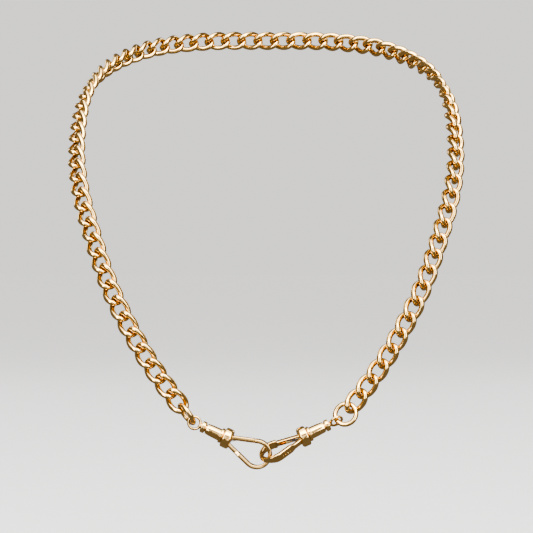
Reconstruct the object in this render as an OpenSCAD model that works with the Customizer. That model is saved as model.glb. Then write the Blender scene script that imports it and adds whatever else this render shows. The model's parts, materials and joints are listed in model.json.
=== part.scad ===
// Gold curb chain for a pocket watch, worn round the neck. Its two swivel
// clips are hooked into each other at the bottom of the loop.
// The origin is at the nape, on the inner side of the middle link; the wearer
// faces -Y, +X is the wearer's left, and +Z is up. The names left and right
// are as seen from the front, so the left parts are those at -X.

/* [Chain] */
// Distance from one link-to-link contact to the next
pitch = 5.8; // [5.75:0.01:5.8]
// Diameter of the round wire of the curb links
link_wire = 1.7; // [1.5:0.05:1.75]
// Half length of a link, measured on the centre of its wire
link_half_length = 3.8; // [3.75:0.01:3.85]
// Half width of a link, measured on the centre of its wire
link_half_width = 2.4; // [2.3:0.05:2.5]
// Twist of a link between its middle and each end, in degrees
link_twist = 50; // [45:1:55]
// Number of links from the middle link to each end of the chain
links_per_side = 37; // [37:1:37]
// How many of them, counted from each clip, move on their own
moving_per_side = 19; // [19:1:19]

/* [End rings] */
// Radius of an end ring, measured on the centre of its wire
ring_radius = 3.4; // [3.3:0.05:3.5]
// Diameter of the wire of an end ring
ring_wire = 1.5; // [1.3:0.05:1.6]
// Turn of the left ring about the chain, from the flat of the last link
left_ring_turn = 70; // [65:1:75]
// Turn of the right ring about the chain, from the flat of the last link
right_ring_turn = 30; // [28:1:40]

/* [Clips] */
// Radius of a clip's eye, measured on the centre of its wire
eye_radius = 1.95; // [1.9:0.05:2]
// Diameter of the wire of a clip's eye
eye_wire = 0.8; // [0.7:0.05:0.8]
// Outer diameter of the collar
collar_d = 6.4; // [6.2:0.1:6.6]
// Distance from the eye's centre to the inner side of the hook's nose
eye_to_nose = 25.3; // [25.2:0.05:25.4]
// Inner radius of the hook's nose
nose_inner_r = 3.45; // [3.4:0.05:3.5]
// Thickness of the hook's strap
strap_t = 1.3; // [1.2:0.05:1.35]
// Width of the hook's strap round the nose
strap_w = 2.6; // [2.4:0.1:2.7]
// Width of the hook's strap where it leaves the collar
strap_root_w = 1.7; // [1.6:0.1:1.8]
// Turn of the left clip about its own axis
left_clip_spin = 5; // [0:1:8]
// Turn of the right clip about its own axis
right_clip_spin = 65; // [62:1:68]
// Turn of the left eye about its clip's axis
left_eye_turn = 5; // [0:1:10]
// Turn of the right eye about its clip's axis
right_eye_turn = 130; // [120:1:132]

/* [Hidden] */
function two_digits(k) = str(k < 10 ? "0" : "", k);
function link_name(side, k) = str(side, "_link_", two_digits(k));
clip_parts = ["eye", "rivet_head", "barrel_cap", "barrel", "collar",
  "hook", "gate", "gate_pin", "gate_spring"];

gold = [0.83, 0.62, 0.33];
spring_steel = [0.62, 0.62, 0.6];
up = [0, 0, 1];
left = -1;
right = 1;

// Where the right half of the chain lies: x, y, z and the roll of the links
route = [
  [0, 2, 0, 15], [22, -1, -0.5, 15], [40.6, -12, -4, 20], [54.3, -29.5, -12, 32],
  [60.5, -48, -23, 42], [62, -65, -38, 44], [60.5, -77, -53, 40], [55.5, -87, -70, 32],
  [48.3, -95.5, -89, 22], [37.3, -101, -109, 10], [24.8, -103.5, -126, 2],
  [20.5, -104, -130, 0], [15, -105, -134, 0]];

function xyz(p) = [p.x, p.y, p.z];
function mirrored(p, side) = [side * p.x, p.y, p.z];
function unit(v) = v / norm(v);
function knot(i) = i < 0 ? [-route[-i].x, route[-i].y, route[-i].z, route[-i][3]] : route[i];

// Smooth curve through the route's points: s counts the points passed
function route_at(s) =
  let (i = floor(s), t = s - i, a = knot(i - 1), b = knot(i), c = knot(i + 1), d = knot(i + 2))
  (2 * b + (c - a) * t + (2 * a - 5 * b + 4 * c - d) * t * t + (3 * b - a - 3 * c + d) * t * t * t) / 2;

// Bisection for the place on the route one chord of the given length past s
function chord_end(s, chord, low, high, rounds = 24) =
  let (middle = (low + high) / 2)
  rounds == 0 ? middle
  : norm(xyz(route_at(middle)) - xyz(route_at(s))) < chord
    ? chord_end(s, chord, middle, high, rounds - 1)
    : chord_end(s, chord, low, middle, rounds - 1);
function marks_from(s, count) =
  count == 0 ? [s] : concat([s], marks_from(chord_end(s, pitch, s, s + 1), count - 1));

// contact[i] is where link i meets link i + 1; the middle link is link 0
contact = [for (s = marks_from(chord_end(0, pitch / 2, 0, 1), links_per_side)) route_at(s)];

// Frame of link i: its direction, its flat normal and its centre
function link_start(i, side) = i == 0 ? mirrored(contact[0], -side) : mirrored(contact[i - 1], side);
function link_end(i, side) = mirrored(contact[i], side);
function link_way(i, side) = unit(link_end(i, side) - link_start(i, side));
function link_centre(i, side) = (link_end(i, side) + link_start(i, side)) / 2;
function link_roll(i) = i == 0 ? contact[0][3] : (contact[i - 1][3] + contact[i][3]) / 2;
function outward(way, side) = side * unit(cross(up, way));
function flat_normal(way, roll, side) =
  let (out = outward(way, side)) cos(roll) * out + side * sin(roll) * cross(way, out);
function link_normal(i, side) = flat_normal(link_way(i, side), link_roll(i), side);

// Places children drawn with +X along way and +Z along normal
module placed(way, normal, centre) {
  across = cross(normal, way);
  multmatrix([
    [way.x, across.x, normal.x, centre.x],
    [way.y, across.y, normal.y, centre.y],
    [way.z, across.z, normal.z, centre.z],
    [0, 0, 0, 1]]) children();
}

// Curb link: a squarish oval of round wire, twisted about its length
link_rings = 16;
link_sides = 8;
link_squareness = 0.8;
function squared(value) = sign(value) * pow(abs(value), link_squareness);
function link_wire_at(angle) =
  let (x = link_half_length * squared(cos(angle)), y = link_half_width * squared(sin(angle)))
  let (twist = link_twist * x / link_half_length)
  [x, y * cos(twist), -y * sin(twist)];
function link_ring(angle) =
  let (centre = link_wire_at(angle))
  let (tangent = unit(link_wire_at(angle + 1) - link_wire_at(angle - 1)))
  let (spoke = unit(centre - (centre * tangent) * tangent), side = cross(tangent, spoke))
  [for (k = [0 : link_sides - 1])
    centre + link_wire / 2 * (cos(360 * k / link_sides) * spoke + sin(360 * k / link_sides) * side)];
link_points = [for (j = [0 : link_rings - 1]) each link_ring(360 * j / link_rings)];
function link_index(j, k) = (j % link_rings) * link_sides + k % link_sides;
link_faces = [for (j = [0 : link_rings - 1], k = [0 : link_sides - 1])
  each [[link_index(j, k), link_index(j, k + 1), link_index(j + 1, k + 1)],
        [link_index(j, k), link_index(j + 1, k + 1), link_index(j + 1, k)]]];

module curb_link(i, side) {
  color(gold)
    placed(link_way(i, side), link_normal(i, side), link_centre(i, side))
      polyhedron(link_points, link_faces);
}

last_fixed = links_per_side - moving_per_side;
module back_links() {
  curb_link(0, right);
  for (side = [left, right], i = [1 : last_fixed]) curb_link(i, side);
}

// End ring: it hangs in the far end of the last link, across its wire
ring_gap = 0.4;
ring_reach = link_half_length - (link_wire + ring_wire) / 2 - ring_gap + ring_radius;
function ring_centre(side) =
  link_centre(links_per_side, side) + ring_reach * link_way(links_per_side, side);
module end_ring(side, turn) {
  last = links_per_side;
  color(gold)
    placed(link_way(last, side), link_normal(last, side), ring_centre(side))
      rotate([turn, 0, 0])
        rotate_extrude($fn = 64) translate([ring_radius, 0]) circle(d = ring_wire, $fn = 32);
}

// The eyes hang in the end rings, each its own way, and the noses meet in the middle plane
eye_gap = 0.5;
left_hang = unit([2.7, -0.8, -3.0]);
right_hang = unit([-2.7, 0.3, -2.03]);
eye_drop = ring_radius - ring_wire / 2 - eye_wire / 2 - eye_gap + eye_radius;
function eye_centre(side) = ring_centre(side) + eye_drop * (side == left ? left_hang : right_hang);
meeting = [0, -106, -138.8];
nose_rise = 0.35;
function clip_way(side) = unit(meeting + [0, 0, side * nose_rise] - eye_centre(side));

// Draws a clip's child with +Z from the eye to the nose and +Y to the gate
module on_clip(side, spin) {
  way = clip_way(side);
  top = unit(cross(way, cross(up, way)));
  face = cross(top, way);
  translate(eye_centre(side))
    multmatrix([
      [face.x, top.x, way.x, 0],
      [face.y, top.y, way.y, 0],
      [face.z, top.z, way.z, 0],
      [0, 0, 0, 1]])
      rotate([0, 0, spin]) children();
}

// Stations along the clip, from the eye's centre
cap_start = 2.5;
cap_end = 3.85;
barrel_start = 4.2;
rivet_start = 4.6;
cavity_end = 7.6;
barrel_end = 8.95;
flare_end = 9.85;
collar_start = 10.0;
collar_end = 12.75;

// Radii of the clip's turned parts
stem_r = 0.55;
rivet_r = 0.95;
cavity_r = 1.15;
spigot_r = cavity_r;
cap_r = 1.85;
barrel_r = 1.9;
flare_r = 2.4;
running_gap = 0.05;

// Eye: a wire ring on a stem, with a shoulder between them
module eye() {
  shoulder_h = 0.45;
  shoulder_r = [0.85, 0.65];
  color(gold) {
    rotate([0, 90, 0])
      rotate_extrude($fn = 48) translate([eye_radius, 0]) circle(d = eye_wire, $fn = 24);
    translate([0, 0, eye_radius]) {
      cylinder(r = stem_r, h = rivet_start - eye_radius, $fn = 32);
      cylinder(r1 = shoulder_r[0], r2 = shoulder_r[1], h = shoulder_h, $fn = 32);
    }
  }
}

module rivet_head() {
  rivet_t = 0.6;
  color(gold) translate([0, 0, rivet_start]) cylinder(r = rivet_r, h = rivet_t, $fn = 32);
}

module barrel_cap() {
  edge = 0.3;
  color(gold)
    rotate_extrude($fn = 64)
      polygon([
        [stem_r + running_gap, cap_start], [cap_r - edge, cap_start], [cap_r, cap_start + edge],
        [cap_r, cap_end - edge], [cap_r - edge, cap_end], [spigot_r, cap_end],
        [spigot_r, barrel_start], [stem_r + running_gap, barrel_start]]);
}

// Barrel: it swells from its mouth to the flare that ends it
module barrel() {
  mouth_r = 1.5;
  edge = 0.2;
  swell = [[1.72, barrel_start + edge], [1.8, 5.4], [1.86, 7]];
  color(gold)
    rotate_extrude($fn = 64)
      polygon(concat(
        [[cavity_r, barrel_start], [mouth_r, barrel_start]], swell,
        [[barrel_r, barrel_end], [flare_r - edge, barrel_end], [flare_r, barrel_end + edge],
         [flare_r, flare_end - edge], [flare_r - edge, flare_end],
         [0, flare_end], [0, cavity_end], [cavity_r, cavity_end]]));
}

// Places on the clip's plane, as [along, towards the gate]
nose_drop = 0.5;
loop_r = nose_inner_r + strap_t / 2;
nose_centre = [eye_to_nose - nose_inner_r, -nose_drop];
gate_pivot = [11.6, 0.55];
gate_reach = 8.3;
arm_root = [11.6, -1.3];

// Direction in which a line from a point touches the loop's circle
function tangent_angle(from, towards) =
  let (away = nose_centre - from)
  atan2(away.y, away.x) + towards * asin(loop_r / norm(away));
gate_angle = tangent_angle(gate_pivot, 1);
arm_angle = tangent_angle(arm_root, -1);
function along(from, angle, reach) = from + reach * [cos(angle), sin(angle)];
gate_tip = along(gate_pivot, gate_angle, gate_reach);
seam_gap = 0.12;
hook_tip = along(gate_pivot, gate_angle, gate_reach + seam_gap);

// Centre line of the hook's strap: up the arm, round the nose, back to the seam
arc_steps = 40;
arc_start = arm_angle - 90;
arc_sweep = gate_angle + 90 - arc_start;
hook_line = concat(
  [arm_root],
  [for (k = [0 : arc_steps]) along(nose_centre, arc_start + arc_sweep * k / arc_steps, loop_r)],
  [hook_tip]);
hook_angles = concat(
  [arm_angle - 90],
  [for (k = [0 : arc_steps]) arc_start + arc_sweep * k / arc_steps],
  [gate_angle + 90]);
function strap_edge(offset) =
  [for (k = [0 : len(hook_line) - 1]) along(hook_line[k], hook_angles[k], offset)];
function reversed(list) = [for (k = [len(list) - 1 : -1 : 0]) list[k]];

// Extrudes a profile drawn as [along, towards the gate] to a width
module across_clip(width) {
  multmatrix([[0, 0, 1, 0], [0, 1, 0, 0], [1, 0, 0, 0], [0, 0, 0, 1]])
    linear_extrude(width, center = true) children();
}

// The collar holds the hook's root in a socket and the gate's root in a slot
slot_w = 1.9;
slot_floor = 10.5;
slot_low = -0.55;
slot_h = 2.7;
pin_r = 0.35;
module pin_rod(radius, length) {
  translate([0, gate_pivot.y, gate_pivot.x]) rotate([0, 90, 0])
    cylinder(r = radius, h = length, center = true, $fn = 32);
}
module collar() {
  edge = 0.5;
  collar_r = collar_d / 2;
  color(gold)
    difference() {
      rotate_extrude($fn = 72)
        polygon([
          [0, flare_end], [barrel_r, flare_end], [barrel_r, collar_start],
          [collar_r - edge, collar_start], [collar_r, collar_start + edge],
          [collar_r, collar_end - edge], [collar_r - edge, collar_end], [0, collar_end]]);
      translate([-slot_w / 2, slot_low, slot_floor]) cube([slot_w, slot_h, collar_end]);
      pin_rod(pin_r, collar_d + 1);
      intersection() {
        across_clip(strap_root_w) strap_outline();
        translate([-collar_r, -collar_r, 0]) cube([collar_d, collar_r, collar_end + 1]);
      }
    }
}

module strap_outline() {
  polygon(concat(strap_edge(strap_t / 2), reversed(strap_edge(-strap_t / 2))));
}

// Half widths of the strap at stations along the clip: slim, broad, and slim at the nose
strap_profile = [
  [strap_root_w / 2, arm_root.x - 1], [strap_root_w / 2, 15.6], [strap_w / 2, 16.8],
  [strap_w / 2, 22.4], [0.8, 25.0], [0.7, 27]];
module hook() {
  plan_h = 12;
  color(gold)
    intersection() {
      across_clip(strap_w + 1) strap_outline();
      rotate([90, 0, 0])
        linear_extrude(plan_h, center = true)
          polygon(concat(strap_profile, reversed([for (p = strap_profile) [-p[0], p[1]]])));
    }
}

// Gate: a lever on the pin, hollowed from the inside for its spring
gate_w = 1.7;
gate_t = 1.4;
channel_w = 0.96;
channel_floor = 0.4;
channel_back = along(gate_pivot, gate_angle, -2);
channel_front = along(gate_tip, gate_angle, -0.8);
module gate() {
  color(gold)
    difference() {
      union() {
        across_clip(gate_w)
          polygon([
            along(gate_pivot, gate_angle + 90, gate_t / 2), along(gate_tip, gate_angle + 90, gate_t / 2),
            along(gate_tip, gate_angle - 90, gate_t / 2),
            along(gate_pivot, gate_angle - 90, gate_t / 2)]);
        pin_rod(gate_t / 2, gate_w);
      }
      pin_rod(pin_r + running_gap, gate_w + 1);
      across_clip(channel_w) polygon([
        along(channel_back, gate_angle + 90, gate_t / 2 - channel_floor),
        along(channel_front, gate_angle + 90, gate_t / 2 - channel_floor),
        along(channel_front, gate_angle - 90, gate_t), along(channel_back, gate_angle - 90, gate_t)]);
    }
}

module gate_pin() {
  pin_length = 5.8;
  color(gold) pin_rod(pin_r, pin_length);
}

// Leaf spring, from the slot's floor to the inside of the gate
module gate_spring() {
  leaf_t = 0.2;
  leaf_w = 0.8;
  leaf = [[slot_floor, -0.5], [12.7, -0.35], [15.1, 1.1], [16.9, 1.95]];
  color(spring_steel)
    across_clip(leaf_w)
      polygon(concat(leaf, reversed([for (p = leaf) p + [0, leaf_t]])));
}

module clip_part(name) {
  if (name == "eye") eye();
  if (name == "rivet_head") rivet_head();
  if (name == "barrel_cap") barrel_cap();
  if (name == "barrel") barrel();
  if (name == "collar") collar();
  if (name == "hook") hook();
  if (name == "gate") gate();
  if (name == "gate_pin") gate_pin();
  if (name == "gate_spring") gate_spring();
}

back_links();
for (k = [1 : moving_per_side]) {
  curb_link(last_fixed + k, left);
  curb_link(last_fixed + k, right);
}
end_ring(left, left_ring_turn);  // left_end_ring
end_ring(right, right_ring_turn);  // right_end_ring
for (part = clip_parts) {
  turns = part == "eye" || part == "rivet_head";
  left_spin = turns ? left_eye_turn : left_clip_spin;
  right_spin = turns ? right_eye_turn : right_clip_spin;
  on_clip(left, left_spin) clip_part(part);
  on_clip(right, right_spin) clip_part(part);
}
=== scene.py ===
"""Looks of a gold curb-link watch chain with two swivel clips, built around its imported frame.

Lengths are worked out in millimetres and turned into metres where a mesh is made.
"""

import json
import math

import bmesh
import bpy
import numpy as np
from mathutils import Matrix, Vector


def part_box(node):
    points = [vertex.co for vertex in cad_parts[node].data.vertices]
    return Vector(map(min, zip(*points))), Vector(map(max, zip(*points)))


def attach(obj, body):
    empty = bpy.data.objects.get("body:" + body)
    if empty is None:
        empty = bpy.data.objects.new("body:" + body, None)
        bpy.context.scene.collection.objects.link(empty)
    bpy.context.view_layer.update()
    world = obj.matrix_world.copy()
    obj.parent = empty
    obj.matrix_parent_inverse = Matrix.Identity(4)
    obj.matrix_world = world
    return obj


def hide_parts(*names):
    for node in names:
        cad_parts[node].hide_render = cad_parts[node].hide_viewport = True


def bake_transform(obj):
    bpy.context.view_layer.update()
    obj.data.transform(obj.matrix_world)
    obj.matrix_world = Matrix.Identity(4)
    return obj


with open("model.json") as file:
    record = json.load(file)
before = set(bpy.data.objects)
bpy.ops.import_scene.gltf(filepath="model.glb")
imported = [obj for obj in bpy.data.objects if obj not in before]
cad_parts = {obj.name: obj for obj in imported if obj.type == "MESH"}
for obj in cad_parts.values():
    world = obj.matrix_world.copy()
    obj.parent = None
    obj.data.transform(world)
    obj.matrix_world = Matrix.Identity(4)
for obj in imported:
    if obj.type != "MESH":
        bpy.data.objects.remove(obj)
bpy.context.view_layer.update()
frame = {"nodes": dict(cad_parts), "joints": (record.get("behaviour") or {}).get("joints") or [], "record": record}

MM = 0.001
SIDES = ("left", "right")
RECORD = frame["record"]
JOINTS = {joint["name"]: joint for joint in frame["joints"]}
MOUNTS = {mount["name"]: mount for mount in RECORD["mounts"]}

# Curb links, as in the CAD model
LINK_WIRE = 1.7
LINK_HALF_LENGTH = 3.8
LINK_HALF_WIDTH = 2.4
LINK_TWIST = math.radians(50)
LINK_SQUARENESS = 0.8
RING_RADIUS = 3.4
RING_WIRE = 1.5

# Stations along a clip, from its eye's centre
EYE_RADIUS = 1.95
EYE_WIRE = 0.8
EYE_TURN = {"left": 0.0, "right": math.radians(65)}
SWIVEL_STATION = 3.25
CAP_START, CAP_END, CAP_R = 2.5, 3.85, 1.85
POST_R, POST_END = 0.55, 4.6
CAVITY_R, CAVITY_END = 1.15, 7.6
BARREL_START, BARREL_END, BARREL_R = 4.2, 8.95, 1.9
FLARE_END, FLARE_R = 9.85, 2.4
COLLAR_START, COLLAR_END, COLLAR_R = 10.0, 12.75, 3.2
EYE_TO_NOSE = 25.3
NOSE_INNER_R = 3.45
STRAP_T = 1.3
NOSE_DROP = 0.5
GATE_PIVOT = np.array([11.6, 0.55])
GATE_REACH = 8.3
SEAM_GAP = 0.12
ARM_ROOT = np.array([11.6, -1.3])
GATE_W, GATE_T = 1.7, 1.4
CHANNEL_W, CHANNEL_FLOOR = 0.96, 0.4
PIN_R, PIN_LENGTH = 0.35, 5.8
# Stations beside the pin where the leaf spring's bend would start and end; the leaf is not bent
LEAF_BEND = (11.0, 13.2)
SLOT_W, SLOT_FLOOR, SLOT_LOW, SLOT_H = 1.9, 10.5, -0.55, 2.7


# ---------------------------------------------------------------- materials

class Shader:
    """A material's node tree, with short calls to add and join its nodes."""

    def __init__(self, name):
        self.material = bpy.data.materials.new(name)
        self.material.use_nodes = True
        self.tree = self.material.node_tree
        self.tree.nodes.clear()
        self.output = self.add("ShaderNodeOutputMaterial")
        self.surface = self.add("ShaderNodeBsdfPrincipled")
        self.join(self.surface, "BSDF", self.output, "Surface")

    def add(self, kind, **settings):
        node = self.tree.nodes.new(kind)
        for key, value in settings.items():
            if key in node.inputs:
                node.inputs[key].default_value = value
            else:
                setattr(node, key, value)
        return node

    def join(self, source, output, target, socket):
        self.tree.links.new(source.outputs[output], target.inputs[socket])

    def coordinates(self):
        return self.add("ShaderNodeTexCoord")

    def noise(self, scale, detail=3.0, roughness=0.5, stretch=None):
        node = self.add("ShaderNodeTexNoise")
        node.inputs["Scale"].default_value = scale
        node.inputs["Detail"].default_value = detail
        node.inputs["Roughness"].default_value = roughness
        coordinates = self.coordinates()
        if stretch is None:
            self.join(coordinates, "Object", node, "Vector")
        else:
            mapping = self.add("ShaderNodeMapping")
            mapping.inputs["Scale"].default_value = stretch
            self.join(coordinates, "Object", mapping, "Vector")
            self.join(mapping, "Vector", node, "Vector")
        return node

    def ramp(self, source, output, stops):
        node = self.add("ShaderNodeValToRGB")
        elements = node.color_ramp.elements
        while len(elements) < len(stops):
            elements.new(0.5)
        for element, (place, colour) in zip(elements, stops):
            element.position = place
            element.color = colour if len(colour) == 4 else (*colour, 1.0)
        self.join(source, output, node, "Fac")
        return node

    def mix(self, kind="MIX"):
        return self.add("ShaderNodeMix", data_type="RGBA", blend_type=kind)

    def bump(self, sources):
        """Adds up height sources, each (node, output, distance in metres)."""
        last = None
        for node, output, distance in sources:
            bump = self.add("ShaderNodeBump")
            bump.inputs["Strength"].default_value = 1.0
            bump.inputs["Distance"].default_value = distance
            self.join(node, output, bump, "Height")
            if last is not None:
                self.join(last, "Normal", bump, "Normal")
            last = bump
        self.join(last, "Normal", self.surface, "Normal")


def grey(value):
    return (value, value, value)


def gold_material(name, bright, deep, smooth, worn):
    """Polished gold: colour drift, tarnish where cloths don't reach together with painted shade, both from the
    tarnish_and_shade attribute, hairlines and soft dents.
    """
    shader = Shader(name)
    surface = shader.surface
    surface.inputs["Metallic"].default_value = 1.0
    drift = shader.noise(350, 2.0, 0.5)
    tone = shader.ramp(drift, "Fac", [(0.3, deep), (0.7, bright)])
    # This attribute sets how much painted shade and tarnish darken each point
    tarnish_and_shade = shader.add("ShaderNodeAttribute", attribute_name="tarnish_and_shade")
    speckle = shader.noise(1900, 4.0, 0.6)
    patches = shader.add("ShaderNodeMath", operation="MULTIPLY")
    spread = shader.ramp(speckle, "Fac", [(0.25, grey(0.55)), (0.65, grey(1.0))])
    shader.join(tarnish_and_shade, "Fac", patches, 0)
    shader.join(spread, "Color", patches, 1)
    colour = shader.mix()
    shader.join(patches, "Value", colour, "Factor")
    shader.join(tone, "Color", colour, "A")
    # Dark brown painted shade and tarnish, mixed into the base colour where tarnish_and_shade is high
    colour.inputs["B"].default_value = (deep[0] * 0.36, deep[1] * 0.26, deep[2] * 0.2, 1.0)
    shader.join(colour, "Result", surface, "Base Color")

    hairlines = shader.noise(2600, 3.0, 0.55, stretch=(1.0, 0.16, 0.3))
    cloth = shader.ramp(hairlines, "Fac", [(0.35, grey(smooth)), (0.75, grey(worn))])
    rough = shader.mix()
    shader.join(patches, "Value", rough, "Factor")
    shader.join(cloth, "Color", rough, "A")
    rough.inputs["B"].default_value = (0.42, 0.42, 0.42, 1.0)
    shader.join(rough, "Result", surface, "Roughness")

    dents = shader.noise(420, 2.0, 0.5)
    shader.bump([(dents, "Fac", 0.000012), (hairlines, "Fac", 0.0000012)])
    return shader.material


def steel_material():
    """Blued-grey spring steel, drawn along the leaf."""
    shader = Shader("spring_steel")
    surface = shader.surface
    surface.inputs["Metallic"].default_value = 1.0
    drawn = shader.noise(1800, 3.0, 0.6, stretch=(0.1, 1.0, 1.0))
    tone = shader.ramp(drawn, "Fac", [(0.3, (0.33, 0.33, 0.34)), (0.7, (0.55, 0.54, 0.52))])
    shader.join(tone, "Color", surface, "Base Color")
    rough = shader.ramp(drawn, "Fac", [(0.3, grey(0.28)), (0.7, grey(0.4))])
    shader.join(rough, "Color", surface, "Roughness")
    shader.bump([(drawn, "Fac", 0.000002)])
    return shader.material


def stage_material(name, colour, roughness):
    shader = Shader(name)
    grain = shader.noise(60, 3.0, 0.5)
    tone = shader.ramp(grain, "Fac", [(0.3, [c * 0.985 for c in colour]), (0.7, colour)])
    shader.join(tone, "Color", shader.surface, "Base Color")
    shader.surface.inputs["Roughness"].default_value = roughness
    return shader.material


LINK_GOLD = gold_material("link_gold", (0.95, 0.68, 0.32), (0.88, 0.59, 0.24), 0.09, 0.19)
RING_GOLD = gold_material("ring_gold", (0.95, 0.68, 0.32), (0.89, 0.6, 0.25), 0.08, 0.17)
CLIP_GOLD = gold_material("clip_gold", (0.96, 0.69, 0.33), (0.9, 0.61, 0.26), 0.07, 0.17)
STEEL = steel_material()


# ---------------------------------------------------------------- mesh helpers

def make_object(name, points, faces, tarnish_and_shade=None):
    """Mesh object from points in millimetres, smooth shaded below 40 degrees."""
    mesh = bpy.data.meshes.new(name)
    mesh.from_pydata((np.asarray(points, float) * MM).tolist(), [], faces)
    mesh.update()
    # Per-point amount of painted shade and tarnish, read by the gold materials
    if tarnish_and_shade is not None:
        layer = mesh.attributes.new("tarnish_and_shade", "FLOAT", "POINT")
        layer.data.foreach_set("value", np.asarray(tarnish_and_shade, np.float32))
    mesh.shade_smooth()
    mesh.set_sharp_from_angle(angle=math.radians(40))
    thing = bpy.data.objects.new(name, mesh)
    bpy.context.scene.collection.objects.link(thing)
    return thing


def grid_faces(rows, columns, closed_rows):
    """Quads of a tube of rings, closed round each ring and perhaps end to end."""
    last = rows if closed_rows else rows - 1
    faces = []
    for j in range(last):
        a, b = j * columns, ((j + 1) % rows) * columns
        for k in range(columns):
            n = (k + 1) % columns
            faces.append((a + k, a + n, b + n, b + k))
    return faces


def tube(centres, spokes, sides_way, radii, sides):
    """Round tube round closed centres. Returns its points, ring by ring."""
    turn = 2 * np.pi * np.arange(sides) / sides
    outward = np.cos(turn)[None, :, None] * spokes[:, None]
    sideways = np.sin(turn)[None, :, None] * sides_way[:, None]
    return centres[:, None] + np.reshape(radii, (-1, 1, 1)) * (outward + sideways)


def closed_frames(centres):
    """The spoke away from the middle, and the way across it and the wire, at each point of a ring."""
    tangents = np.roll(centres, -1, 0) - np.roll(centres, 1, 0)
    tangents /= np.linalg.norm(tangents, axis=1)[:, None]
    spokes = centres - (centres * tangents).sum(1)[:, None] * tangents
    spokes /= np.linalg.norm(spokes, axis=1)[:, None]
    return spokes, np.cross(tangents, spokes)


def lathe(name, profile, segments=96, tarnish_and_shade=None):
    """Solid turned about +Z from (radius, station) pairs that run from one end of the outline
    to the other; radius 0 makes a pole."""
    points, faces, marks, rows = [], [], [], []
    for index, (radius, station) in enumerate(profile):
        first = len(points)
        if radius < 1e-6:
            points.append((0.0, 0.0, station))
            rows.append([first])
        else:
            for k in range(segments):
                angle = 2 * math.pi * k / segments
                points.append((radius * math.cos(angle), radius * math.sin(angle), station))
            rows.append(list(range(first, first + segments)))
        mark = 0.0 if tarnish_and_shade is None else tarnish_and_shade[index]
        marks += [mark] * len(rows[-1])
    loops = rows if len(rows[0]) == 1 or len(rows[-1]) == 1 else rows + [rows[0]]
    for low, high in zip(loops, loops[1:]):
        for k in range(segments if len(low) + len(high) > 2 else 0):
            n = (k + 1) % segments
            if len(low) == 1:
                faces.append((low[0], high[n], high[k]))
            elif len(high) == 1:
                faces.append((low[k], low[n], high[0]))
            else:
                faces.append((low[k], low[n], high[n], high[k]))
    return make_object(name, points, faces, marks)


def rounded(profile, radius, steps=4):
    """Rounds the corners of an open outline of (radius, station) pairs."""
    result = [profile[0]]
    for before, corner, after in zip(profile, profile[1:], profile[2:]):
        corner = np.array(corner, float)
        back, ahead = np.array(before) - corner, np.array(after) - corner
        reach = min(radius, 0.45 * np.linalg.norm(back), 0.45 * np.linalg.norm(ahead))
        start = corner + reach * back / np.linalg.norm(back)
        end = corner + reach * ahead / np.linalg.norm(ahead)
        for step in range(steps + 1):
            t = step / steps
            result.append(tuple((1 - t) ** 2 * start + 2 * t * (1 - t) * corner + t * t * end))
    result.append(profile[-1])
    return result


def fix_normals(thing):
    """Turns every face outward."""
    work = bmesh.new()
    work.from_mesh(thing.data)
    bmesh.ops.recalc_face_normals(work, faces=work.faces)
    work.to_mesh(thing.data)
    work.free()


def combine(thing, other, operation):
    """Applies a boolean with another object and deletes that object."""
    fix_normals(thing)
    fix_normals(other)
    modifier = thing.modifiers.new(operation, "BOOLEAN")
    modifier.operation = operation
    modifier.solver = "EXACT"
    modifier.object = other
    apply_modifiers(thing)
    bpy.data.objects.remove(other)


def apply_modifiers(thing):
    bpy.context.view_layer.update()
    result = thing.evaluated_get(bpy.context.evaluated_depsgraph_get())
    mesh = bpy.data.meshes.new_from_object(result)
    thing.modifiers.clear()
    thing.data = mesh
    mesh.shade_smooth()
    mesh.set_sharp_from_angle(angle=math.radians(32))


def dress_piece(thing, material, slot, *nodes):
    thing.data.materials.clear()
    thing.data.materials.append(material)
    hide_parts(*nodes)


def finish_piece(thing, material, body, slot, *nodes):
    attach(thing, body)
    dress_piece(thing, material, slot, *nodes)


# ---------------------------------------------------------------- curb links

def squared(value):
    return np.sign(value) * np.abs(value) ** LINK_SQUARENESS


def link_centres(count):
    """Centre line of a link's wire, at even steps along the wire."""
    angle = np.linspace(0, 2 * np.pi, 4001)
    x = LINK_HALF_LENGTH * squared(np.cos(angle))
    y = LINK_HALF_WIDTH * squared(np.sin(angle))
    twist = LINK_TWIST * x / LINK_HALF_LENGTH
    line = np.c_[x, y * np.cos(twist), -y * np.sin(twist)]
    run = np.r_[0, np.cumsum(np.linalg.norm(np.diff(line, axis=0), axis=1))]
    wanted = np.linspace(0, run[-1], count, endpoint=False)
    return np.c_[[np.interp(wanted, run, line[:, k]) for k in range(3)]].T


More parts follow.
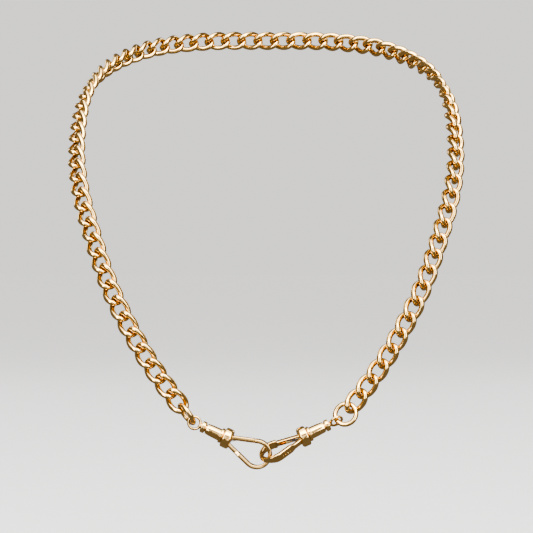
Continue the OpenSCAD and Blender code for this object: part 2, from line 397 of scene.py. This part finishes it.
def link_shape(rings, sides):
    """Points, faces, painted shade and tarnish of one link, with +X along the chain and +Z off its flat."""
    centres = link_centres(rings)
    spokes, ways = closed_frames(centres)
    bars = 1 - np.abs(centres[:, 0]) / LINK_HALF_LENGTH
    # The wire is pressed a little flat where the next link bears on it
    press = 1 - 0.012 * np.exp(-(bars / 0.12) ** 2)
    points = tube(centres, spokes, ways, LINK_WIRE / 2 * press, sides)
    outward = points - centres[:, None]
    inner = np.clip(-(outward * spokes[:, None]).sum(2) / (LINK_WIRE / 2), 0, 1)
    ends = np.exp(-(bars / 0.35) ** 2)[:, None]
    # Painted shade and tarnish on the inner side of the wire, strongest near the ends where the next links pass
    # through
    tarnish_and_shade = 0.75 * inner ** 2 * (0.35 + 0.65 * ends)
    # Solder seam in the middle of one bar, and a small plain assay dot on the other
    seam = np.array([0.0, LINK_HALF_WIDTH, 0.0])
    near = np.abs(centres[:, 0] - seam[0]) + 10 * (centres[:, 1] < 0)
    groove = np.exp(-(near / 0.09) ** 2)[:, None]
    points -= 0.012 * groove[..., None] * outward / (LINK_WIRE / 2)
    tarnish_and_shade = np.maximum(tarnish_and_shade, 0.3 * groove)
    dot = np.array([1.55, -LINK_HALF_WIDTH * 0.93, 0.95])
    away = np.linalg.norm(points - dot, axis=2)
    dent = np.clip(1 - (away / 0.34) ** 2, 0, 1)
    points -= 0.07 * dent[..., None] * outward / (LINK_WIRE / 2)
    # The dot's dent is painted nearly fully dark
    tarnish_and_shade = np.maximum(tarnish_and_shade, 0.9 * dent)
    return points.reshape(-1, 3), grid_faces(rings, sides, True), tarnish_and_shade.reshape(-1)


LINK_POINTS, LINK_FACES, LINK_TARNISH_AND_SHADE = link_shape(132, 28)


def node_parts(node):
    """The points of each separate solid of a CAD node, in millimetres."""
    mesh = frame["nodes"][node].data
    points = np.array([v.co[:] for v in mesh.vertices]) / MM
    keys = {}
    index = np.array([keys.setdefault(tuple(np.round(p, 3)), len(keys)) for p in points])
    owner = np.arange(len(keys))

    def root(i):
        while owner[i] != i:
            owner[i] = owner[owner[i]]
            i = owner[i]
        return i

    for edge in mesh.edges:
        a, b = root(index[edge.vertices[0]]), root(index[edge.vertices[1]])
        owner[a] = b
    places = np.array(list(keys))
    roots = np.array([root(i) for i in range(len(keys))])
    return [places[roots == r] for r in sorted(set(roots.tolist()))]


def link_frame(places):
    """Centre and the ways along, across and off the flat of a link's solid."""
    centre = places.mean(0)
    ways = np.linalg.eigh(np.cov((places - centre).T))[1]
    off, along = ways[:, 0], ways[:, 2]
    outward = centre - np.array([0.0, -50.0, centre[2]])
    if off @ outward < 0:
        off = -off
    across = np.cross(off, along)
    if across[0] < 0:
        along, across = -along, -across
    return centre, np.array([along, across, off])


def links_piece(name, node):
    points, faces, tarnish_and_shade = [], [], []
    for places in node_parts(node):
        centre, ways = link_frame(places)
        first = len(points) * len(LINK_POINTS)
        points.append(LINK_POINTS @ ways + centre)
        faces += [tuple(first + i for i in face) for face in LINK_FACES]
        tarnish_and_shade.append(LINK_TARNISH_AND_SHADE)
    return make_object(name, np.concatenate(points), faces, np.concatenate(tarnish_and_shade))


def build_links():
    bodies = {"back_links": "root"}
    for body, members in RECORD["behaviour"]["bodies"].items():
        for node in members:
            if "_link_" in node:
                bodies[node] = body
    for node, body in bodies.items():
        finish_piece(links_piece("round_" + node, node), LINK_GOLD, body, "chain_gold", node)


# ---------------------------------------------------------------- end rings

def build_end_ring(side):
    node = side + "_end_ring"
    places = node_parts(node)[0]
    low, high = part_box(node)
    centre = np.array((low + high) / 2) / MM
    off = np.linalg.eigh(np.cov((places - centre).T))[1][:, 0]
    first = np.cross(off, [0.0, 0.0, 1.0])
    first /= np.linalg.norm(first)
    second = np.cross(off, first)
    angle = np.linspace(0, 2 * np.pi, 160, endpoint=False)[:, None]
    circle = RING_RADIUS * (np.cos(angle) * first + np.sin(angle) * second)
    spokes, ways = closed_frames(circle)
    solder = np.exp(-(((angle[:, 0] - 2.2) / 0.04) ** 2))
    radii = RING_WIRE / 2 * (1 - 0.02 * solder)
    points = tube(circle, spokes, ways, radii, 32)
    inner = np.clip(-((points - circle[:, None]) * spokes[:, None]).sum(2) / (RING_WIRE / 2), 0, 1)
    # Painted shade and tarnish on the ring's inner side, and a darker solder joint
    tarnish_and_shade = np.maximum(0.4 * inner ** 2, 0.35 * solder[:, None])
    ring = make_object("round_" + node, points.reshape(-1, 3) + centre,
                       grid_faces(160, 32, True), tarnish_and_shade.reshape(-1))
    finish_piece(ring, RING_GOLD, node, "ring_gold", node)


# ---------------------------------------------------------------- clips

def clip_matrix(side, turn=0.0):
    """From the clip's own axes (+X across, +Y to the gate, +Z to the nose) to the frame's."""
    along = Vector(JOINTS[side + "_swivel"]["axis"]).normalized()
    across = Vector(JOINTS[side + "_gate_hinge"]["axis"]).normalized()
    gateward = along.cross(across).normalized()
    across = gateward.cross(along)
    origin = Vector(JOINTS[side + "_swivel"]["pos_m"]) - along * SWIVEL_STATION * MM
    matrix = Matrix((across, gateward, along)).transposed().to_4x4()
    matrix.translation = origin
    return matrix @ Matrix.Rotation(turn, 4, "Z")


def put(thing, side, turn=0.0):
    thing.data.transform(clip_matrix(side, turn))
    return thing


def direction(angle):
    return np.array([math.cos(angle), math.sin(angle)])


NOSE_CENTRE = np.array([EYE_TO_NOSE - NOSE_INNER_R, -NOSE_DROP])
LOOP_R = NOSE_INNER_R + STRAP_T / 2


def tangent_angle(start, towards):
    away = NOSE_CENTRE - start
    lean = math.asin(LOOP_R / np.linalg.norm(away))
    return math.atan2(away[1], away[0]) + towards * lean


GATE_ANGLE = tangent_angle(GATE_PIVOT, 1)
ARM_ANGLE = tangent_angle(ARM_ROOT, -1)
GATE_TIP = GATE_PIVOT + GATE_REACH * direction(GATE_ANGLE)
HOOK_TIP = GATE_PIVOT + (GATE_REACH + SEAM_GAP) * direction(GATE_ANGLE)


def bar(name, stations, section_points=28, squareness=0.42):
    """Bar of rounded-rectangle section along a flat path. Each station is
    (place on the clip's plane, outward angle, width, thickness, tarnish and painted shade)."""
    turn = 2 * np.pi * np.arange(section_points) / section_points
    u = np.sign(np.cos(turn)) * np.abs(np.cos(turn)) ** squareness
    v = np.sign(np.sin(turn)) * np.abs(np.sin(turn)) ** squareness
    points, tarnish_and_shade = [], []
    for place, angle, width, thickness, tarnish_and_shade_level in stations:
        out = direction(angle)
        flat = place[None] + v[:, None] * thickness / 2 * out
        points.append(np.c_[u * width / 2, flat[:, 1], flat[:, 0]])
        # Painted shade and tarnish, half again as dark on the bar's inner side and half as dark on its outer side
        tarnish_and_shade.append(np.clip(tarnish_and_shade_level - 0.5 * v * tarnish_and_shade_level, 0, 1))
    count = len(points)
    faces = grid_faces(count, section_points, False)
    faces.append(tuple(range(section_points)))
    faces.append(tuple(reversed(range((count - 1) * section_points, count * section_points))))
    return make_object(name, np.concatenate(points), faces, np.concatenate(tarnish_and_shade))


def with_soft_ends(stations, reach=0.14):
    """Draws the first and last stations in over a short length, so the bar's ends are rounded."""
    def capped(end, inward):
        place, angle, width, thickness, tarnish_and_shade_level = end
        step = np.array(inward) / np.linalg.norm(inward)
        layers = []
        for t in (0.0, 0.3, 0.65, 1.0):
            shrink = reach * (1 - math.sqrt(max(0.0, 1 - (1 - t) ** 2)))
            layers.append((place + step * reach * t, angle, width - 2 * shrink,
                           thickness - 2 * shrink, tarnish_and_shade_level))
        return layers
    head = capped(stations[0], stations[1][0] - stations[0][0])
    tail = capped(stations[-1], stations[-2][0] - stations[-1][0])
    return head + stations[1:-1] + tail[::-1]


def strap_width(station):
    """Width of the hook's strap: slim at the collar, broad on the stamped stretch, slim nose."""
    stops = [(10.6, 1.7), (15.6, 1.7), (16.8, 2.6), (22.4, 2.6), (25.0, 1.6), (27.0, 1.4)]
    return float(np.interp(station, *zip(*stops)))


def build_hook(side):
    arc_start = ARM_ANGLE - math.pi / 2
    arc_end = GATE_ANGLE + math.pi / 2
    arm_end = NOSE_CENTRE + LOOP_R * direction(arc_start)
    stations = []
    for t in np.linspace(0, 1, 34, endpoint=False):
        place = ARM_ROOT + t * (arm_end - ARM_ROOT)
        stations.append((place, arc_start, strap_width(place[0]), STRAP_T, 0.1))
    for angle in np.linspace(arc_start, arc_end, 72):
        place = NOSE_CENTRE + LOOP_R * direction(angle)
        # The strap is painted darker round the far end of the nose
        nose_darkening = math.exp(-(((place[0] - 25.6) / 0.8) ** 2))
        stations.append((place, angle, strap_width(place[0]), STRAP_T, 0.1 + 0.3 * nose_darkening))
    stations.append((HOOK_TIP, arc_end, strap_width(HOOK_TIP[0]), STRAP_T, 0.2))
    hook = bar(side + "_hook_strap", with_soft_ends(stations))
    for mark in assay_marks():
        combine(hook, mark, "DIFFERENCE")
    put(hook, side)
    finish_piece(hook, CLIP_GOLD, side + "_clip", "clip_gold", side + "_hook")


def assay_marks():
    """Cutters for a row of plain shapes punched in the outside of the fixed arm."""
    outward = direction(ARM_ANGLE - math.pi / 2)
    shapes = ((17.6, 4, 0.34), (18.5, 24, 0.28), (19.4, 3, 0.36), (20.3, 6, 0.3))
    cutters = []
    for number, (station, corners, radius) in enumerate(shapes):
        place = ARM_ROOT + (station - ARM_ROOT[0]) / math.cos(ARM_ANGLE) * direction(ARM_ANGLE)
        floor = place + (STRAP_T / 2 - 0.07) * outward
        roof = place + (STRAP_T / 2 + 0.3) * outward
        points = []
        for level, grow in ((floor, 0.75), (roof, 1.6)):
            for k in range(corners):
                angle = 2 * math.pi * (k + 0.5) / corners
                spot = level + radius * grow * math.sin(angle) * direction(ARM_ANGLE)
                points.append((radius * grow * math.cos(angle), spot[1], spot[0]))
        faces = grid_faces(2, corners, False)
        faces.append(tuple(range(corners)))
        faces.append(tuple(reversed(range(corners, 2 * corners))))
        # Each cutter carries the darkest tarnish_and_shade, so the punched hollows come out dark
        cutters.append(make_object(f"punch_{number}", points, faces, [1.0] * len(points)))
    return cutters


def build_gate(side):
    outward = GATE_ANGLE + math.pi / 2
    places = np.linspace(0, 1, 30)[:, None] * (GATE_TIP - GATE_PIVOT) + GATE_PIVOT
    stations = [(place, outward, GATE_W, GATE_T, 0.15) for place in places]
    gate = bar(side + "_gate_lever", with_soft_ends(stations))
    knuckle = lathe("knuckle", rounded([(0, -GATE_W / 2), (GATE_T / 2, -GATE_W / 2),
                                        (GATE_T / 2, GATE_W / 2), (0, GATE_W / 2)], 0.12), 40)
    across_pin(knuckle)
    combine(gate, knuckle, "UNION")
    inward = -direction(outward)
    start = GATE_PIVOT - 2 * direction(GATE_ANGLE)
    end = GATE_TIP - 0.8 * direction(GATE_ANGLE)
    depth = 3.0
    centre = -(GATE_T / 2 - CHANNEL_FLOOR) + depth / 2
    # The channel cutter carries a high tarnish_and_shade value, so the channel's walls and floor are painted with
    # dark shade
    channel = [(place + centre * inward, outward, CHANNEL_W, depth, 0.9)
               for place in np.linspace(start, end, 14)]
    combine(gate, bar("channel", channel, 24, 0.2), "DIFFERENCE")
    bore = lathe("bore", [(0, -2.0), (PIN_R + 0.05, -2.0), (PIN_R + 0.05, 2.0), (0, 2.0)], 32)
    across_pin(bore)
    combine(gate, bore, "DIFFERENCE")
    put(gate, side)
    finish_piece(gate, CLIP_GOLD, side + "_gate_body", "clip_gold", side + "_gate")


def across_pin(thing):
    """Lays a turned shape across the clip, centred on the gate's pin."""
    lay = Matrix.Rotation(math.pi / 2, 4, "Y")
    shift = Matrix.Translation(Vector((0, GATE_PIVOT[1], GATE_PIVOT[0])) * MM)
    thing.data.transform(shift @ lay)


def build_turned_parts(side):
    cap = lathe(side + "_cap", rounded([
        (POST_R + 0.05, CAP_START), (CAP_R, CAP_START), (CAP_R, CAP_END), (CAVITY_R, CAP_END),
        (CAVITY_R, BARREL_START), (POST_R + 0.05, BARREL_START)], 0.32, 6))
    barrel = lathe(side + "_barrel_shell", rounded([
        (CAVITY_R, BARREL_START), (1.62, BARREL_START), (1.76, 5.2), (1.85, 6.8), (1.89, 8.2),
        (BARREL_R, BARREL_END), (FLARE_R, BARREL_END), (FLARE_R, FLARE_END), (0.0, FLARE_END)],
        0.28, 6) + [(0.0, CAVITY_END), (CAVITY_R, CAVITY_END)])
    collar = lathe(side + "_collar_ring", rounded([
        (0.0, FLARE_END), (BARREL_R, FLARE_END), (BARREL_R, COLLAR_START),
        (COLLAR_R, COLLAR_START), (COLLAR_R, COLLAR_END), (0.0, COLLAR_END)], 0.85, 8))
    # The slot cutter's tarnish_and_shade of 0.6 paints shade on the slot's walls
    slot = box_piece("slot", (-SLOT_W / 2, SLOT_LOW, SLOT_FLOOR),
                     (SLOT_W / 2, SLOT_LOW + SLOT_H, COLLAR_END + 1))
    combine(collar, slot, "DIFFERENCE")
    hole = lathe("hole", [(0, -4.0), (PIN_R, -4.0), (PIN_R, 4.0), (0, 4.0)], 32)
    across_pin(hole)
    combine(collar, hole, "DIFFERENCE")
    for thing, node in ((cap, "barrel_cap"), (barrel, "barrel"), (collar, "collar")):
        fix_normals(thing)
        put(thing, side)
        finish_piece(thing, CLIP_GOLD, side + "_clip", "clip_gold", f"{side}_{node}")


def box_piece(name, low, high):
    (a, b, c), (d, e, f) = low, high
    points = [(x, y, z) for x in (a, d) for y in (b, e) for z in (c, f)]
    faces = [(0, 1, 3, 2), (4, 6, 7, 5), (0, 4, 5, 1), (2, 3, 7, 6), (0, 2, 6, 4), (1, 5, 7, 3)]
    return make_object(name, points, faces, [0.6] * 8)


def build_pin(side):
    half = PIN_LENGTH / 2
    pin = lathe(side + "_pin", rounded([(0, -half), (PIN_R, -half), (PIN_R, half), (0, half)], 0.12), 40)
    across_pin(pin)
    fix_normals(pin)
    put(pin, side)
    finish_piece(pin, CLIP_GOLD, side + "_clip", "clip_gold", side + "_gate_pin")


def build_eye(side):
    angle = np.linspace(0, 2 * np.pi, 120, endpoint=False)
    circle = EYE_RADIUS * np.c_[0 * angle, np.sin(angle), np.cos(angle)]
    spokes, ways = closed_frames(circle)
    away = np.minimum(angle, 2 * np.pi - angle)
    radii = EYE_WIRE / 2 * (1 + 0.3 * np.exp(-((away / 0.45) ** 2)))
    points = tube(circle, spokes, ways, radii, 28)
    inner = np.clip(-((points - circle[:, None]) * spokes[:, None]).sum(2) / (EYE_WIRE / 2), 0, 1)
    # Painted shade and tarnish on the loop's inner side
    eye = make_object(side + "_eye_loop", points.reshape(-1, 3), grid_faces(120, 28, True),
                      (0.5 * inner ** 2).reshape(-1))
    post = lathe("post", rounded([(0, EYE_RADIUS - 0.1), (0.5, EYE_RADIUS - 0.05), (0.82, 2.1),
                                  (0.82, 2.45), (POST_R, 2.5), (POST_R, POST_END), (0, POST_END)],
                                 0.12), 48)
    combine(eye, post, "UNION")
    put(eye, side, EYE_TURN[side])
    finish_piece(eye, CLIP_GOLD, side + "_eye_post", "clip_gold", side + "_eye")


def build_spring(side):
    leaf = [(SLOT_FLOOR, -0.4), (12.7, -0.25), (15.1, 1.2), (16.9, 2.05)]
    knots = np.array([leaf[0], leaf[0], *leaf[1:], leaf[-1]], float)
    line = []
    for k in range(1, len(knots) - 2):
        a, b, c, d = knots[k - 1:k + 3]
        for t in np.linspace(0, 1, 10, endpoint=False):
            line.append((2 * b + (c - a) * t + (2 * a - 5 * b + 4 * c - d) * t * t
                         + (3 * b - a - 3 * c + d) * t ** 3) / 2)
    line = np.array(line + [leaf[-1]])
    slope = np.gradient(line, axis=0)
    stations = [(place, math.atan2(way[1], way[0]) + math.pi / 2, 0.8, 0.18, 0.0)
                for place, way in zip(line, slope)]
    spring = bar(side + "_leaf", stations, 20, 0.25)
    put(spring, side)
    # Works out the places beside the pin where a bend would start and end; nothing uses them, and the leaf doesn't
    # turn with the gate
    still, moved = (clip_matrix(side) @ Vector((0, 0, station * MM)) for station in LEAF_BEND)
    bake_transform(spring)
    dress_piece(spring, STEEL, "spring_steel", side + "_gate_spring")


def build_clip(side):
    build_eye(side)
    build_turned_parts(side)
    build_hook(side)
    build_gate(side)
    build_pin(side)
    build_spring(side)
    head = frame["nodes"][side + "_rivet_head"]
    head.data.materials.clear()
    head.data.materials.append(CLIP_GOLD)


# ---------------------------------------------------------------- studio

# The sky that the camera sees, as bright as the far floor, and the dim one that lights and reflects
PALE = (0.748, 0.737, 0.716, 1.0)
DIM = (0.19, 0.174, 0.158, 1.0)
# Height of the floor and half its width, in metres
STAGE_LEVEL = -0.178
STAGE_REACH = 30.0
CHAIN_MIDDLE = Vector((0.0, -0.07, -0.08))
# Softboxes: name, azimuth, elevation, distance, width, height, radiance
SOFTBOXES = (
    ("key_left", -34, 12, 1.3, 0.62, 1.1, 4.0),
    ("key_right", 34, 12, 1.3, 0.62, 1.1, 4.0),
    ("top_front", 0, 50, 1.3, 1.5, 0.7, 4.0),
    ("front_fill", 0, 0, 1.5, 0.7, 1.0, 1.0),
    ("back_left", -140, 25, 1.6, 0.5, 0.9, 1.6),
    ("back_right", 140, 25, 1.6, 0.5, 0.9, 1.6),
)
# Camera: focal length in mm, then its place from the point where the clips meet, in metres
LENS = 172.9
CAMERA_ASIDE, CAMERA_BACK, CAMERA_RISE = 0.0001, 0.798, 0.0596


def build_stage():
    """Wide pale floor under the chain, as bright as the sky that the camera sees behind it."""
    mesh = bpy.data.meshes.new("floor")
    ways = ((-1, -1), (1, -1), (1, 1), (-1, 1))
    corners = [(x * STAGE_REACH, y * STAGE_REACH, STAGE_LEVEL) for x, y in ways]
    mesh.from_pydata(corners, [], [(0, 1, 2, 3)])
    floor = bpy.data.objects.new("floor", mesh)
    bpy.context.scene.collection.objects.link(floor)
    mesh.materials.append(stage_material("floor_paper", (0.8, 0.8, 0.795), 0.95))
    # Left out of reflections, so that polished gold keeps its dark sides over a pale floor
    floor.visible_glossy = False


def softbox(name, azimuth, elevation, distance, width, height, radiance):
    """Area light aimed at the chain's middle; azimuth 0 is in front and 90 on the right."""
    turn, rise = math.radians(azimuth), math.radians(elevation)
    way = Vector((math.sin(turn) * math.cos(rise), -math.cos(turn) * math.cos(rise), math.sin(rise)))
    light = bpy.data.lights.new(name, "AREA")
    light.shape = "RECTANGLE"
    light.size, light.size_y = width, height
    light.energy = radiance * math.pi * width * height
    thing = bpy.data.objects.new(name, light)
    bpy.context.scene.collection.objects.link(thing)
    thing.location = CHAIN_MIDDLE + distance * way
    thing.rotation_euler = way.to_track_quat("Z", "Y").to_euler()


def build_lights():
    """A broad overhead light, the softboxes, and the sky."""
    sun = bpy.data.lights.new("overhead", "SUN")
    sun.energy, sun.angle = 2.75, math.radians(75)
    overhead = bpy.data.objects.new("overhead", sun)
    bpy.context.scene.collection.objects.link(overhead)
    overhead.rotation_euler = (math.radians(22), 0.0, 0.0)
    for box in SOFTBOXES:
        softbox(*box)

    world = bpy.data.worlds.new("studio")
    world.use_nodes = True
    tree = world.node_tree
    background = tree.nodes["Background"]
    rays = tree.nodes.new("ShaderNodeLightPath")
    sky = tree.nodes.new("ShaderNodeMix")
    sky.data_type = "RGBA"
    sky.inputs["A"].default_value = DIM
    sky.inputs["B"].default_value = PALE
    tree.links.new(rays.outputs["Is Camera Ray"], sky.inputs["Factor"])
    tree.links.new(sky.outputs["Result"], background.inputs["Color"])
    bpy.context.scene.world = world
    bpy.context.scene.view_settings.view_transform = "AgX"
    bpy.context.scene.view_settings.look = "AgX - High Contrast"


def build_camera():
    meeting = (Vector(MOUNTS["left_hook"]["pos_m"]) + Vector(MOUNTS["right_hook"]["pos_m"])) / 2
    camera = bpy.data.cameras.new("camera")
    camera.sensor_width = 36.0
    camera.lens = LENS
    thing = bpy.data.objects.new("camera", camera)
    bpy.context.scene.collection.objects.link(thing)
    thing.location = (CAMERA_ASIDE, meeting.y - CAMERA_BACK, meeting.z + CAMERA_RISE)
    thing.rotation_euler = (math.pi / 2, 0.0, 0.0)
    bpy.context.scene.camera = thing


build_links()
for side in SIDES:
    build_end_ring(side)
    build_clip(side)
build_stage()
build_lights()
build_camera()
